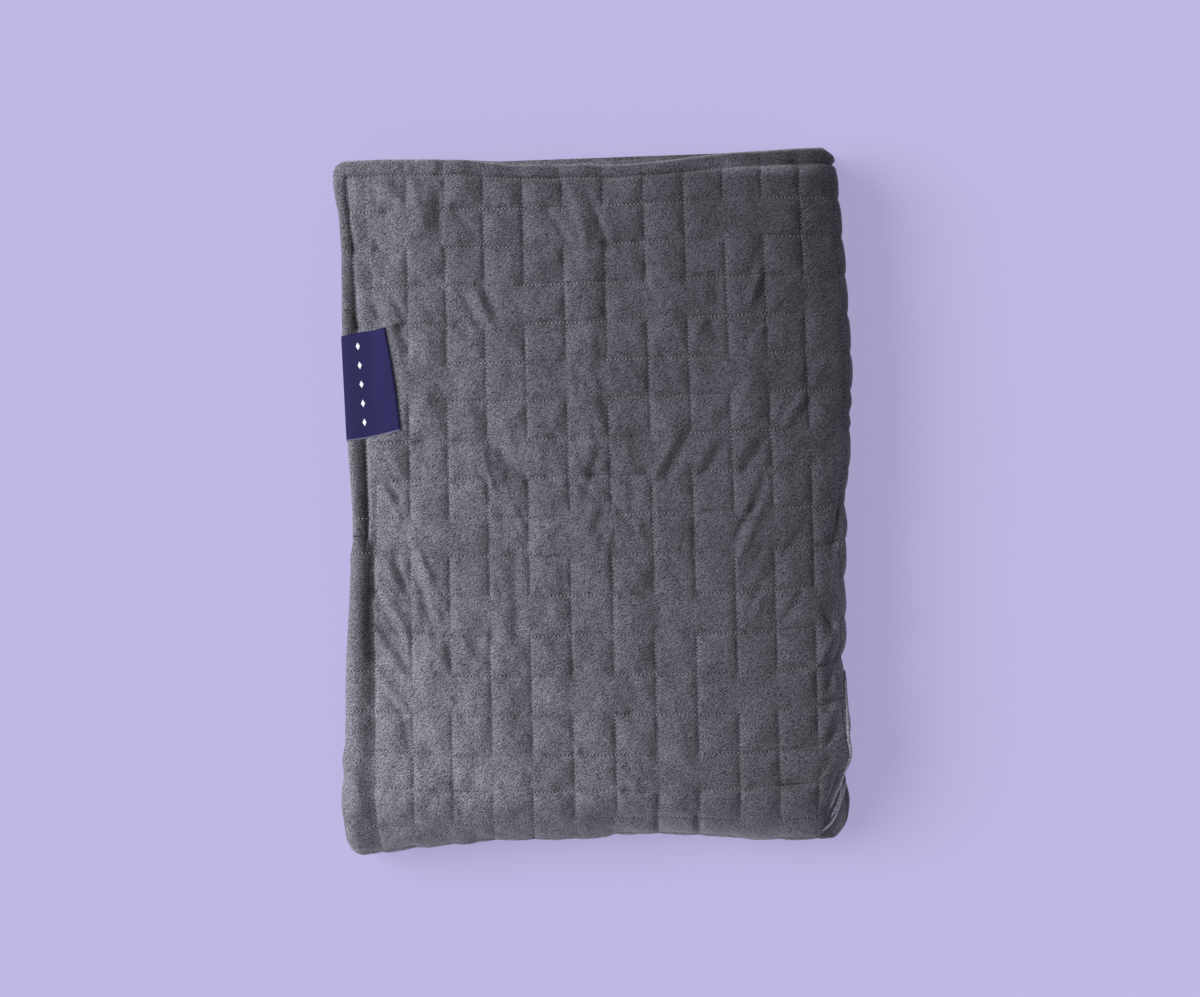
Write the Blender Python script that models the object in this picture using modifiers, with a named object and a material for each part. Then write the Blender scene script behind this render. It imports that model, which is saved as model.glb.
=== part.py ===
"""A weighted blanket, folded in four across and then in half at the front, with a label on its hem.

The quilted cloth is one solid. Its back-and-forth section runs across the stack, from the hem on the left
round the large fold on the right and back. It is swept along the stack: from the back hem over the top,
round the front fold and along the underside to the other back hem. Metres, +X right, +Y back, +Z up.
"""

import math

import bmesh
import bpy

# The folded stack.
STACK_WIDTH = 0.446
STACK_DEPTH = 0.604
LAYER_THICKNESS = 0.0105
LAYER_STEP = 0.0118
HALF_LAYER = LAYER_THICKNESS / 2
STACK_HEIGHT = 7 * LAYER_STEP + LAYER_THICKNESS

# Radii of the folds, measured to the middle of the layer or of the four layers that turn together.
OUTER_FOLD = 1.5 * LAYER_STEP
INNER_FOLD = 0.5 * LAYER_STEP
FRONT_FOLD = 2 * LAYER_STEP
FRONT_REACH = 3.5 * LAYER_STEP + HALF_LAYER
FOLD_START = STACK_WIDTH - OUTER_FOLD - HALF_LAYER
LEFT_FOLD_START = 0.003 + INNER_FOLD + HALF_LAYER
SECOND_HEM = 0.014
SIDE_FOLD_STEPS = 6
TIGHT_FOLD_STEPS = 3
FRONT_FOLD_STEPS = 8

# Quilting: squares with some sides left unsewn, so that five of them make one plus-shaped puff.
FIRST_SEAM = 0.0245
SEAM_PITCH = 0.0352
SEAMS_ACROSS = 12
FIRST_CROSS_SEAM = 0.0442
CROSS_SEAMS = 16
CROSS_PITCH = (STACK_DEPTH - FRONT_REACH - FIRST_CROSS_SEAM) / (CROSS_SEAMS - 1)
PUFF_HEIGHT = 0.0020
OPEN_SIDE_SHARE = 0.75

# The turned and topstitched hem: distance in from the edge, and thickness as a share of the layer's.
HEM = (
    # (inset, share)
    (0.0000, 0.35),
    (0.0025, 0.80),
    (0.0070, 1.00),
    (0.0140, 0.62),
)

# Hidden layers need points only where the stack starts to slope down to its edges.
LEFT_SLOPE_START = 0.060
RIGHT_SLOPE_START = 0.390
HIDDEN_MIDDLE = 0.230
FRONT_SLOPE_START = FRONT_REACH + 2 * CROSS_PITCH
UNDERSIDE_ROWS = (FRONT_SLOPE_START, 0.250, 0.420)

# How far the edges sink below the middle, as a share of the height.
LEFT_SINK = 0.10
RIGHT_SINK = 0.13
FRONT_SINK = 0.14

# Outline of the stack from above, in millimetres from its middle, by share of the way along each edge.
LEFT_EDGE = (
    # (share from the front, x)
    (0.00, -218.0),
    (0.07, -220.0),
    (0.20, -217.0),
    (0.35, -215.0),
    (0.45, -212.2),
    (0.55, -215.5),
    (0.65, -219.0),
    (0.80, -220.5),
    (0.90, -223.0),
    (0.95, -227.5),
    (1.00, -229.5),
)
RIGHT_EDGE = (
    # (share from the front, x)
    (0.00, 225.5),
    (0.07, 226.5),
    (0.14, 228.5),
    (0.20, 224.0),
    (0.37, 223.0),
    (0.44, 224.6),
    (0.49, 223.0),
    (0.60, 228.0),
    (0.67, 230.0),
    (0.75, 228.0),
    (0.83, 223.0),
    (0.90, 221.5),
    (0.95, 218.5),
    (1.00, 214.0),
)
FRONT_EDGE = (
    # (share from the left, y)
    (0.00, -310.0),
    (0.05, -312.0),
    (0.15, -305.5),
    (0.25, -302.0),
    (0.46, -298.0),
    (0.54, -293.5),
    (0.70, -294.4),
    (0.86, -298.0),
    (1.00, -294.5),
)
BACK_EDGE = (
    # (share from the left, y)
    (0.00, 299.5),
    (0.10, 301.8),
    (0.30, 302.4),
    (0.50, 303.2),
    (0.75, 307.4),
    (0.95, 312.0),
    (1.00, 311.0),
)

# The upper layers draw in at the front right corner, and the lower ones show past them.
CORNER_REACH = 0.110
CORNER_DRAW_X = 0.017
CORNER_DRAW_Y = 0.021
CORNER_LOW = 0.10 * STACK_HEIGHT
CORNER_HIGH = 0.85 * STACK_HEIGHT

# The label: where its ends cross the hem, how far it reaches in, and its stations round the hem.
LABEL_THICKNESS = 0.0010
LABEL_FRONT = 0.354
LABEL_BACK = 0.447
LABEL_REACH_FRONT = 0.0476
LABEL_REACH_BACK = 0.0370
LABEL_SLANT = 0.19
LABEL_ROWS = 6
LABEL_ROUND_HEM = (
    # (x on the hem side, height over the middle of the layer)
    (0.0110, -0.0064),
    (0.0060, -0.0064),
    (0.0020, -0.0058),
    (-0.0006, -0.0036),
    (-0.0012, 0.0000),
    (-0.0006, 0.0040),
    (0.0020, 0.0062),
    (0.0060, 0.0071),
    (0.0110, 0.0080),
)
LABEL_TOP = 0.0082
LABEL_TOP_STEPS = 3

CLOTH_COLOR = (0.118, 0.114, 0.141, 1.0)
LABEL_COLOR = (0.036, 0.032, 0.127, 1.0)


def clear_scene():
    for obj in list(bpy.data.objects):
        bpy.data.objects.remove(obj, do_unlink=True)


def cloth_material(name, color, roughness):
    material = bpy.data.materials.new(name)
    material.use_nodes = True
    shader = material.node_tree.nodes["Principled BSDF"]
    shader.inputs["Base Color"].default_value = color
    shader.inputs["Roughness"].default_value = roughness
    return material


def along(table, share):
    """Reads a two-column table at a share of the way, in straight lines between its rows."""
    for (low, at_low), (high, at_high) in zip(table, table[1:]):
        if share <= high:
            return at_low + (at_high - at_low) * (share - low) / (high - low)
    return table[-1][1]


def ramp(value, start, end):
    """Rises from 0 at start to 1 at end in a straight line, and stays there."""
    return min(1.0, max(0.0, (value - start) / (end - start)))


def ease(value, start, end):
    share = ramp(value, start, end)
    return share * share * (3 - 2 * share)


def arc(centre_x, centre_height, radius, start, end, steps):
    """Points after the first of an arc in the section, with angles from +X towards up, in degrees."""
    points = []
    for step in range(1, steps + 1):
        angle = math.radians(start + (end - start) * step / steps)
        points.append((centre_x + radius * math.cos(angle), centre_height + radius * math.sin(angle)))
    return points


def seam_stations():
    return [FIRST_SEAM + SEAM_PITCH * seam for seam in range(SEAMS_ACROSS)]


def section(share):
    """The closed outline of the four layers, as (x, height over their middle), for a layer of this share.

    It follows the outer side from the hem on top to the hem inside, and comes back along the other side.
    """
    half = HALF_LAYER * share
    first, second = OUTER_FOLD, INNER_FOLD
    hidden = [RIGHT_SLOPE_START, HIDDEN_MIDDLE, LEFT_SLOPE_START]
    outline = [(inset, first + half * thin) for inset, thin in HEM]
    outline += [(x, first + half) for x in seam_stations()]
    outline.append((FOLD_START, first + half))
    outline += arc(FOLD_START, 0, first + half, 90, -90, SIDE_FOLD_STEPS)
    outline += [(x, -first - half) for x in hidden + [LEFT_FOLD_START]]
    outline += arc(LEFT_FOLD_START, -LAYER_STEP, second + half, -90, -270, SIDE_FOLD_STEPS)
    outline += [(x, half - second) for x in hidden[::-1] + [FOLD_START]]
    outline += arc(FOLD_START, 0, second - half, -90, 90, TIGHT_FOLD_STEPS)
    outline += [(x, second - half) for x in hidden]
    outline += [(SECOND_HEM + inset, second - half * thin) for inset, thin in HEM[::-1]]
    outline += [(SECOND_HEM + inset, second + half * thin) for inset, thin in HEM]
    outline += [(x, second + half) for x in hidden[::-1] + [FOLD_START]]
    outline += arc(FOLD_START, 0, second + half, 90, -90, SIDE_FOLD_STEPS)
    outline += [(x, -second - half) for x in hidden + [LEFT_FOLD_START]]
    outline += arc(LEFT_FOLD_START, -LAYER_STEP, second - half, -270, -90, TIGHT_FOLD_STEPS)
    outline += [(x, half - first) for x in hidden[::-1] + [FOLD_START]]
    outline += arc(FOLD_START, 0, first - half, -90, 90, SIDE_FOLD_STEPS)
    outline += [(x, first - half) for x in hidden]
    outline += [(inset, first - half * thin) for inset, thin in HEM[::-1]]
    return outline


def sweep_rows():
    """The rows of the sweep, as (distance behind the front fold's centre, angle round it, share)."""
    back = STACK_DEPTH - FRONT_REACH
    rows = [(back - inset, 0, thin) for inset, thin in HEM]
    rows += [(back - FIRST_CROSS_SEAM - CROSS_PITCH * seam, 0, 1) for seam in range(CROSS_SEAMS)]
    rows += [(0, math.pi * step / FRONT_FOLD_STEPS, 1) for step in range(1, FRONT_FOLD_STEPS + 1)]
    rows += [(y - FRONT_REACH, math.pi, 1) for y in UNDERSIDE_ROWS]
    rows += [(back - inset, math.pi, thin) for inset, thin in HEM[::-1]]
    return rows


def on_row(row, x, height):
    behind, angle, _ = row
    radius = FRONT_FOLD + height
    y = FRONT_REACH + behind - radius * math.sin(angle)
    return (x, y, STACK_HEIGHT / 2 + radius * math.cos(angle))


def is_sewn(column, row, along_row):
    """Whether the side of a square is sewn: a cross seam over its column, or a seam over its row."""
    across, down = column % 4, row % 4
    if along_row:
        return not (across == 1 and down in (1, 2) or across == 3 and down in (3, 0))
    return not (down == 1 and across in (1, 2) or down == 3 and across in (3, 0))


def open_sides(points):
    """The pairs of points that end each unsewn side on top: the seams start after the hem's points."""
    hem = len(HEM)
    sides = []
    for row in range(CROSS_SEAMS):
        for column in range(SEAMS_ACROSS):
            here = points[hem + row][hem + column]
            if column + 1 < SEAMS_ACROSS and not is_sewn(column, row + 1, True):
                sides.append((here, points[hem + row][hem + column + 1]))
            if row + 1 < CROSS_SEAMS and not is_sewn(column, row + 1, False):
                sides.append((here, points[hem + row + 1][hem + column]))
    return sides


def raise_puffs(mesh, faces, sides):
    for start, end in sides:
        edge = mesh.edges.get((start, end))
        _, middle = bmesh.utils.edge_split(edge, start, 0.5)
        middle.co.z += PUFF_HEIGHT * OPEN_SIDE_SHARE
    square = SEAM_PITCH * CROSS_PITCH
    for face in faces:
        out = face.normal.copy()
        height = PUFF_HEIGHT * min(1.0, face.calc_area() / square)
        centre = bmesh.ops.poke(mesh, faces=[face])["verts"][0]
        centre.co += out * height


def lie(point):
    """Moves a point of the square stack to the real one's outline, sunk edges and drawn-in corner."""
    x, y, z = point
    sink = LEFT_SINK * (1 - ramp(x, 0, LEFT_SLOPE_START))
    sink += RIGHT_SINK * ramp(x, RIGHT_SLOPE_START, STACK_WIDTH)
    sink += FRONT_SINK * (1 - ramp(y, 0, FRONT_SLOPE_START))
    corner = ramp(x, RIGHT_SLOPE_START, STACK_WIDTH) * (1 - ease(y, 0, CORNER_REACH))
    corner *= ease(z, CORNER_LOW, CORNER_HIGH)
    across, back = x / STACK_WIDTH, y / STACK_DEPTH
    left, right = along(LEFT_EDGE, back) / 1000, along(RIGHT_EDGE, back) / 1000
    front, rear = along(FRONT_EDGE, across) / 1000, along(BACK_EDGE, across) / 1000
    return (
        left + (right - left) * across - CORNER_DRAW_X * corner,
        front + (rear - front) * back + CORNER_DRAW_Y * corner,
        z * (1 - sink),
    )


def grid_points(mesh, columns, rows):
    """A new grid of this many points each way, as rows of points."""
    made = bmesh.ops.create_grid(mesh, x_segments=columns - 1, y_segments=rows - 1, size=1)["verts"]
    return [made[row * columns : (row + 1) * columns] for row in range(rows)]


def make_object(name, mesh, material, collection):
    data = bpy.data.meshes.new(name)
    mesh.to_mesh(data)
    mesh.free()
    data.materials.append(material)
    obj = bpy.data.objects.new(name, data)
    collection.objects.link(obj)
    return obj


def make_blanket(collection):
    rows = sweep_rows()
    columns = len(section(1)) + 1
    mesh = bmesh.new()
    points = grid_points(mesh, columns, len(rows))
    for row, line in zip(rows, points):
        outline = section(row[2])
        for point, (x, height) in zip(line, outline + outline[:1]):
            point.co = on_row(row, x, height)
    mesh.faces.ensure_lookup_table()
    showing = len(HEM) + SEAMS_ACROSS + SIDE_FOLD_STEPS
    top_rows = len(HEM) + CROSS_SEAMS + FRONT_FOLD_STEPS - 1
    starts = [row * (columns - 1) for row in range(top_rows)]
    puffed = [mesh.faces[start + column] for start in starts for column in range(showing)]
    bmesh.ops.weld_verts(mesh, targetmap={line[-1]: line[0] for line in points})
    rims = [edge for edge in mesh.edges if edge.is_boundary]
    ends = bmesh.ops.holes_fill(mesh, edges=rims, sides=0)["faces"]
    bmesh.ops.triangulate(mesh, faces=ends, ngon_method="EAR_CLIP")
    bmesh.ops.recalc_face_normals(mesh, faces=mesh.faces)
    raise_puffs(mesh, puffed, open_sides(points))
    for point in mesh.verts:
        point.co = lie(point.co)
    bmesh.ops.triangulate(mesh, faces=mesh.faces)
    return make_object("blanket", mesh, cloth_material("plush", CLOTH_COLOR, 0.95), collection)


def label_stations(share):
    """The label's path round the hem, at a share of the way from its front end to its back end."""
    reach = LABEL_REACH_FRONT + (LABEL_REACH_BACK - LABEL_REACH_FRONT) * share
    last = LABEL_ROUND_HEM[-1][0]
    flat = [last + (reach - last) * step / LABEL_TOP_STEPS for step in range(1, LABEL_TOP_STEPS + 1)]
    return list(LABEL_ROUND_HEM) + [(x, LABEL_TOP) for x in flat]


def make_label(collection):
    mesh = bmesh.new()
    points = grid_points(mesh, len(label_stations(0)), LABEL_ROWS)
    top_row = sweep_rows()[0]
    for row, line in enumerate(points):
        share = row / (LABEL_ROWS - 1)
        y = LABEL_FRONT + (LABEL_BACK - LABEL_FRONT) * share
        for point, (x, height) in zip(line, label_stations(share)):
            z = on_row(top_row, x, OUTER_FOLD + height)[2]
            point.co = lie((x, y + LABEL_SLANT * x, z))
    bmesh.ops.recalc_face_normals(mesh, faces=mesh.faces)
    label = make_object("label", mesh, cloth_material("woven_tape", LABEL_COLOR, 0.6), collection)
    tape = label.modifiers.new("Tape", "SOLIDIFY")
    tape.thickness = LABEL_THICKNESS
    tape.offset = 0
    return label


def centre_on_origin(objects):
    """Moves the pieces together, so that the middle of what they stand on is at the origin."""
    corners = [point.co for obj in objects for point in obj.data.vertices]
    middle = [(min(c[axis] for c in corners) + max(c[axis] for c in corners)) / 2 for axis in (0, 1)]
    for corner in corners:
        corner.x -= middle[0]
        corner.y -= middle[1]


def main():
    clear_scene()
    collection = bpy.data.collections.new("weighted_blanket")
    bpy.context.scene.collection.children.link(collection)
    centre_on_origin([make_blanket(collection), make_label(collection)])


main()
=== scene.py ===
"""The looks of the folded weighted blanket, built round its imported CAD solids.

Metres, +X right, +Y back, +Z up, with the stack standing on z = 0. The photograph looks straight down
on the stack, with its bottom edge at the front.
"""

import math

import bmesh
import bpy
import numpy as np
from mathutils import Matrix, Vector, noise
from mathutils.bvhtree import BVHTree


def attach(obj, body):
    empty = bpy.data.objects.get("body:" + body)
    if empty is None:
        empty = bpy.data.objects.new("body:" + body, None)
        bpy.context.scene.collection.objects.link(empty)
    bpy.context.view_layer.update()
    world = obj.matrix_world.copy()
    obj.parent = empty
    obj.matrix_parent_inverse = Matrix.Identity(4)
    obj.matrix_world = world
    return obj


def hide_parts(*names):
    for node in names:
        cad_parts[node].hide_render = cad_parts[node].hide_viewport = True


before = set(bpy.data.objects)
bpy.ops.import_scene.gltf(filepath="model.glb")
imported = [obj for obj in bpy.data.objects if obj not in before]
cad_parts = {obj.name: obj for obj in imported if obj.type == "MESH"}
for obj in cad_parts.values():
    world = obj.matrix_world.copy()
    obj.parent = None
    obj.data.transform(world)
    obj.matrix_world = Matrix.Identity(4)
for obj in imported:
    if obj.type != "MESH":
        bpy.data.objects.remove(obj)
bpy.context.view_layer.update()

# ---------------------------------------------------------------------------------------------------
# The blanket: one quilted cloth of short-pile plush, filled and sewn through in squares with some sides
# left unsewn. It is folded in four across, then in half round the front edge, so eight layers lie on
# each other. One back-and-forth section of four layers is swept over the top, round the front fold and
# back underneath; the outer face is then raised in puffs between its seams.

LAYER_STEP = 0.0118
HALF_LAYER = 0.00525
STACK_WIDTH = 0.446
STACK_DEPTH = 0.604
STACK_HEIGHT = 7 * LAYER_STEP + 2 * HALF_LAYER
OUTER_FOLD = 1.5 * LAYER_STEP
INNER_FOLD = 0.5 * LAYER_STEP
FRONT_FOLD = 2 * LAYER_STEP
FRONT_REACH = 3.5 * LAYER_STEP + HALF_LAYER
FOLD_START = STACK_WIDTH - OUTER_FOLD - HALF_LAYER
LEFT_FOLD_START = 0.003 + INNER_FOLD + HALF_LAYER
SECOND_HEM = 0.014
SEAM_PITCH = 0.0352
FIRST_SEAM = 0.0245
CROSS_PITCH = 0.0342
FIRST_CROSS_SEAM = 0.0442
LAST_FLAT_SEAM = 11
LAST_FLAT_CROSS = 16
# The folds at the right are pressed flat, so they turn in a squared curve.
FOLD_SQUARENESS = 3.4
SIDE_SEAM_ANGLE = 0.70
SIDE_SEAM_STEP = 1.53
FRONT_SEAM_ANGLES = (0.0, 0.64, 1.30, 1.98, 2.66)
UNDERSIDE_CROSSES = 16

# Stations across and along one square, closer together beside its seams.
ACROSS_STEPS = (
    0.0, 0.025, 0.06, 0.11, 0.17, 0.24, 0.31, 0.38, 0.45, 0.52, 0.60, 0.68, 0.76, 0.84, 0.91, 0.965,
)
ALONG_STEPS = (0.0, 0.03, 0.08, 0.15, 0.25, 0.36, 0.48, 0.60, 0.72, 0.83, 0.91, 0.965)
COARSE_STEPS = (0.0, 0.15, 0.85)
# Stations in from a hem's edge: the rolled band, the topstitched groove at 14 mm, and the strip behind it.
HEM_STEPS = (
    0.0, 0.0004, 0.0012, 0.0026, 0.0045, 0.0068, 0.0092, 0.0112, 0.0128, 0.0140, 0.0152, 0.0172, 0.0205,
)
BACK_HEM_STEPS = (*HEM_STEPS, 0.0255, 0.0305, 0.0350, 0.0390, 0.0420)
SECOND_HEM_STEPS = (0.014, 0.0092, 0.0045, 0.0026, 0.0012, 0.0004, 0.0)
UNDER_HEM_STEPS = (0.016, 0.0140, 0.0112, 0.0068, 0.0045, 0.0026, 0.0012, 0.0004, 0.0)
HIDDEN_STEPS = (0.39, 0.23, 0.06)
HEM_BAND = 0.0140
HEM_NOSE = 0.0055
HEM_ROUNDING = (-0.001, 0.004)
BAND_END = (HEM_BAND - 0.001, HEM_BAND + 0.005)

# Where the real cloth's lines lie, in millimetres from the middle of the stack.
LEFT_EDGE = (
    # (y, x)
    (-312, -207), (-304, -212.5), (-295, -216.5), (-273, -219.5), (-256, -219), (-242, -217),
    (-220, -213.5), (-195, -214), (-154, -214), (-132, -212.5), (-110, -210.5), (-88, -208.5),
    (-65, -207.5), (-43, -209.5), (-31, -212.2), (-11, -212.4), (19, -214.4), (53, -216.8), (146, -221.6),
    (216, -221.9), (248, -223.3), (260, -225.2), (271, -227.6), (284, -229.8), (304, -229.8),
)
RIGHT_EDGE = (
    # (y, x)
    (-310, 225), (-255, 228.8), (-235, 230.8), (-210, 229.8), (-180, 223.5), (-153, 222.6), (-135, 225.8),
    (-90, 224.6), (-35, 226.4), (-3, 224.4), (20, 229.2), (40, 229), (58, 230.5), (67, 228.2), (76, 231.3),
    (110, 231.3), (145, 229.2), (178, 227), (195, 225.8), (230, 222.6), (265, 219.4), (285, 215.8),
    (312, 213),
)
FRONT_EDGE = (
    # (x, y)
    (-224, -307), (-215, -310.6), (-197, -315), (-187, -313.8), (-170, -311.3), (-148, -309), (-125, -308),
    (-103, -305.3), (-81, -304), (-46, -303.6), (-15, -303.4), (8, -300), (30, -298.2), (60, -298),
    (110, -301), (118, -302.2), (160, -303.5), (205, -303), (225, -306),
)
BACK_EDGE = (
    # (x, y)
    (-230, 300), (-184, 302.8), (-148, 302), (-118, 302), (-95, 300.2), (-70, 297.8), (-37, 297.6),
    (-15, 298), (29, 297.6), (60, 299.8), (95, 304.6), (118, 307.6), (140, 309), (160, 310.2), (195, 312.6),
    (216, 313.8),
)
HEM_STITCH = (
    # (y, x) of the topstitching beside the left edge
    (-300, -204), (-45, -199), (-31, -197.9), (20, -198.7), (53, -199.6), (165, -208.8), (236, -212.9),
    (256, -216), (290, -218.6),
)
FIRST_SEAM_LINE = (
    # (y, x) of the seam nearest the left edge
    (-305, -186), (-282, -190.5), (-266, -192.6), (-177, -192.2), (-45, -191.8), (18, -190.3),
    (120, -192.2), (190, -194.6), (224, -196.9), (252, -199.6), (292, -200.3),
)
SECOND_SEAM_LINE = (
    # (y, x), and the pitch of the seams after it
    (-264, -157.4), (0.9, -160.9), (292.6, -164.4),
)
PITCH_ACROSS = (
    # (y, pitch)
    (-264, 35.89), (0.9, 35.54), (292.6, 34.65),
)
SEAM_SWAY = 1.9
CROSS_LINES = (
    # (cross seam number, y at x = -90)
    (1, 258.1), (10, -49), (15, -226), (16, -257.7),
)
UPPER_SWAY = (
    # (x, change of y) of the cross seams behind the middle
    (-196, -2.7), (-166, -1.3), (-125, 0), (-90, 0), (-55, 0.9), (16, 3.2), (87, 6.6), (157, 10),
    (210, 10.4),
)
LOWER_SWAY = (
    # (x, change of y) of the cross seams before the middle
    (-192, 5), (-161, 3), (-125, 0.9), (-90, 0), (-55, 0), (16, 2), (93, 2.6), (128, 3.5), (163, 7),
    (201, 10.5), (219, 16.5),
)

# How the stack sinks at its edges, as a share of its height, and over what distance.
LEFT_SINK = (0.10, 0.070)
RIGHT_SINK = (0.13, 0.070)
FRONT_SINK = (0.14, 0.115)
BACK_SINK = (0.04, 0.060)
CORNER_RADIUS = 0.013
ROLL_DROOP, ROLL_REACH = 0.0080, 0.011
ROLL_RISE, ROLL_LEAN = 0.0080, 0.42
ROLL_START, ROLL_END = -0.050, -0.025
ROLL_PUFF, ROLL_SMOOTH = 0.0030, 0.85
ROLL_SMOOTHED = (0.007, 0.016)

# The front right corner, where the upper layers draw in.
CORNER_START, CORNER_FULL = -0.235, -0.290
CORNER_ACROSS = (0.408, STACK_WIDTH - 0.006)
LOWER_LAYERS = (0.28 * STACK_HEIGHT, 0.48 * STACK_HEIGHT)
UPPER_LAYERS = (0.40 * STACK_HEIGHT, 0.78 * STACK_HEIGHT)
CORNER_DRAW_X, CORNER_DRAW_Y = 0.014, 0.005
CORNER_SPREAD = 0.0045

# The puffs between the seams rise steeply beside a seam and broadly after it, and less at the folds.
STEEP_HEIGHT, STEEP_FALL = 0.0008, 0.0015
BROAD_HEIGHT, BROAD_FALL = 0.0045, 0.0085
PUFF_HEIGHT = STEEP_HEIGHT + BROAD_HEIGHT
SEAM_DEPTH = 0.0016
SHARPNESS = 5.0
FRONT_SHARE, SIDE_SHARE = 0.40, 0.55
# Angles round the front fold: where it starts to turn, where it ends, and where the underside begins.
FRONT_TURNS, FRONT_ENDS, UNDER_START = (0.15, 0.7), (1.9, 2.4), 2.2
# Each hem's band: its height, and how far its round top leans to the edge.
BACK_BAND, SIDE_BAND = (0.0022, 1.0), (0.0034, 0.6)
GROOVE_DEPTH, GROOVE_WIDTH = 0.0022, 0.0016
# The slack cloth's waves: broad ones, short ones and slanting folds.
SLOW_WAVES, QUICK_WAVES, SLANT_WAVES = 0.0040, 0.0036, 0.0044
SLANTED = ((46.0, 20.0, 0.0), (36.0, -26.0, 0.0), (0.0, 0.0, 30.0))

# The cloth lies flat under the label, and no stitches are set where it covers more than this share.
LABEL_COVERS = 0.3
LABEL_MIDDLE, LABEL_SLANT = 0.0992, 0.19
LABEL_HALF_WIDTH = (0.0455, 0.0515)
LABEL_LEVEL = 0.0012
LABEL_REACH = (
    # (y, distance in from the left edge)
    (53, 55.5), (153, 43.5),
)

# Where the strip along the left edge is painted darker: painted shade in the trench beside the first seam,
# with part of it pile lying the other way.
LEFT_STRIP_SHADING = (
    # (y, share)
    (-287, 0.3), (-264, 0.12), (-231, 0.1), (-194, 0.35), (-148, 0.65), (-105, 1), (-59, 0.9), (164, 0.8),
    (209, 0.35), (266, 0.15),
)

# Widths of the painted shade in the seams and in the hem's topstitched groove.
SEAM_SHADE_WIDTH, GROOVE_SHADE_WIDTH = 0.0008, 0.0011
# Width and strength of the painted sheen along the hem edges, and strength of the painted sheen on the front
# fold.
EDGE_SHEEN_WIDTH = 0.0016
EDGE_SHEEN, FRONT_SHEEN = 0.54, 0.30
# Strengths of the painted shade along the left edge strip and on the front fold's left part.
LEFT_STRIP_SHADE, FRONT_SHADE = 0.86, 0.20
# The inner faces between the layers are painted darker: painted shade.
INNER_SHADE = 0.55
# Painted sheen where the pile on the right fold turns away and catches the light.
SIDE_SHEEN = (
    # (y, how much lighter) the painted sheen makes the pile along the fold at the right
    (-252, 0), (-232, 0.7), (-205, 1.1), (-90, 1.1), (60, 0.35), (290, 0.3),
)
# Patches made lighter or darker than the rest of the cloth.
TONE_PATCHES = (
    # (x, y, half width, half depth, how much lighter) in millimetres
    (158, 294, 48, 4.5, 1.4), (212, -278, 8, 9, -0.35), (221, -284, 6, 14, 0.7),
)

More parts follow.
